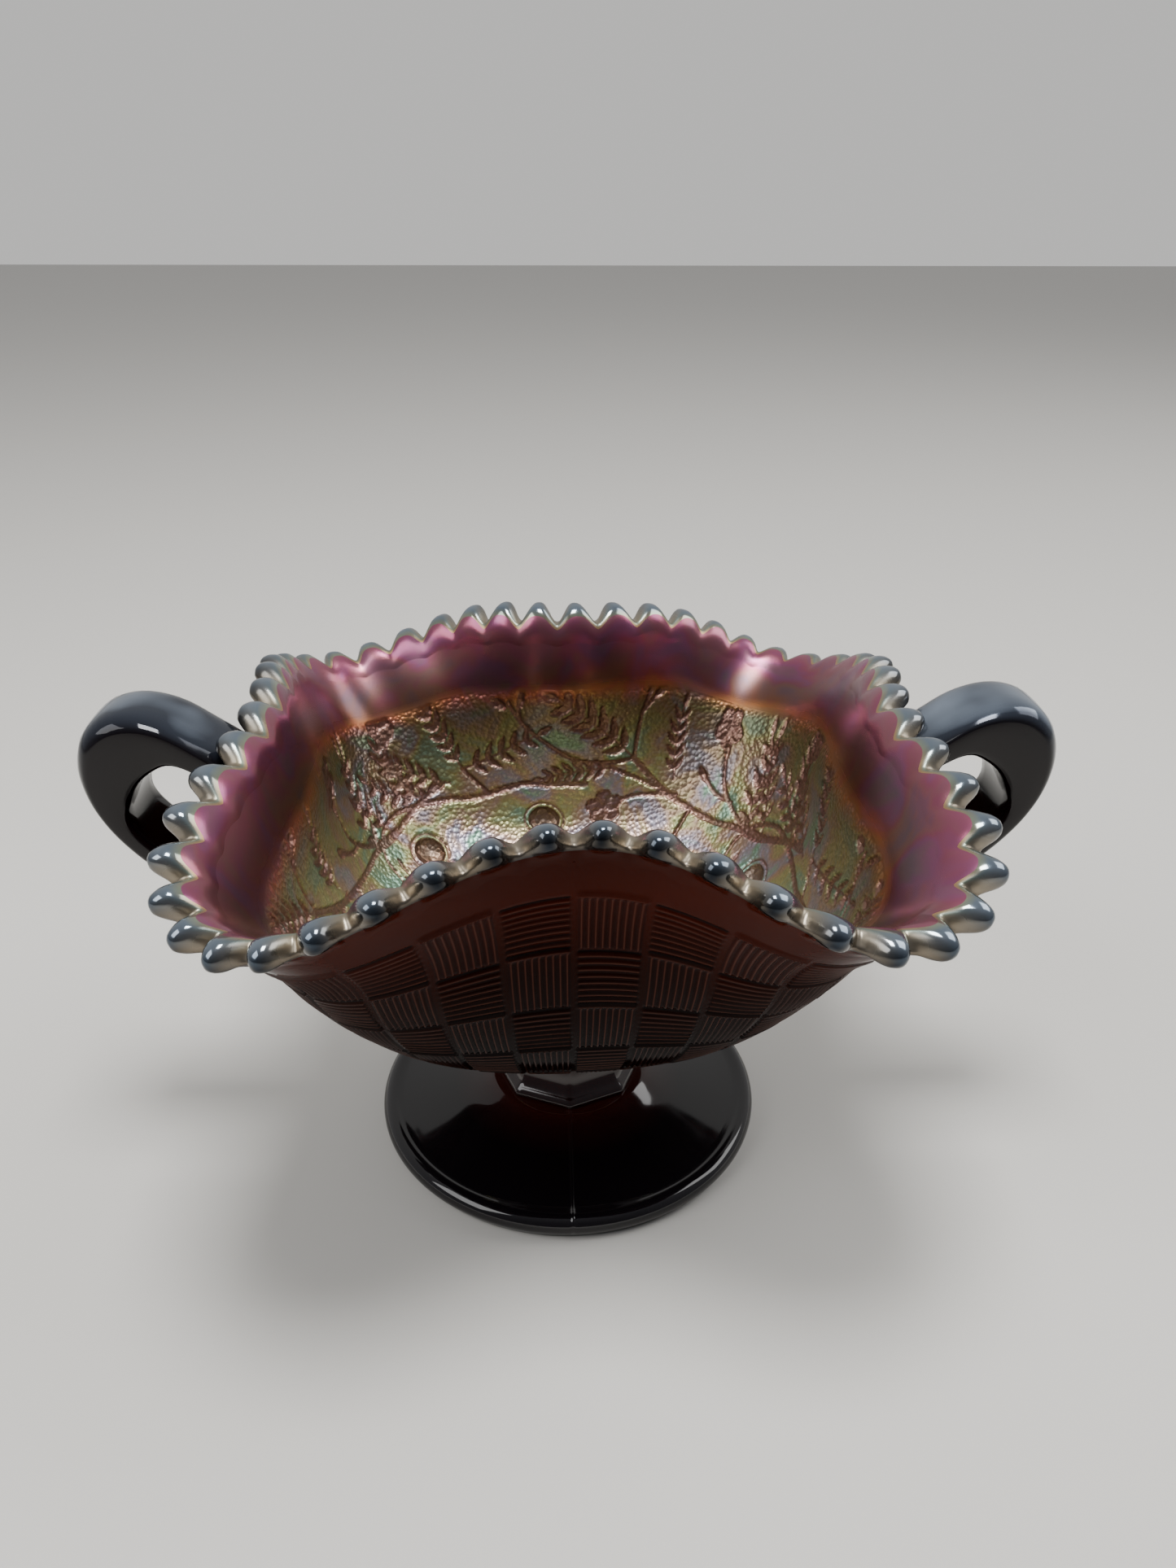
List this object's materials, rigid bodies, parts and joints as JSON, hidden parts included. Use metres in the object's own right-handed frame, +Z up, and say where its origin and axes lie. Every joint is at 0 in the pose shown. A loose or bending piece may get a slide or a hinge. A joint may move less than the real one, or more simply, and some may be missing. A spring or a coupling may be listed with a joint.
{
  "type": "carnival glass bowl",
  "caption": "Two-handled footed bowl of pressed dark carnival glass, crimped square, with a beaded rim, basket-weave outside and fruiting branches in relief inside.",
  "frame": {"origin": "on the table under the middle of the foot", "axes": "+Z up, +X through the right handle, +Y to the back, the mould seams in the YZ plane"},
  "size_m": [0.1844, 0.1322, 0.0999],
  "materials": {
    "foot": "gloss",
    "stem": "gloss",
    "bowl": "iridescent gloss",
    "beaded_rim": "iridescent gloss",
    "handle": "gloss"
  },
  "bodies": {
    "root": {"foot": "foot", "stem": "stem", "bowl": "bowl", "beaded_rim": "beaded_rim", "handle_left": "handle", "handle_right": "handle"}
  },
  "joints": []
}
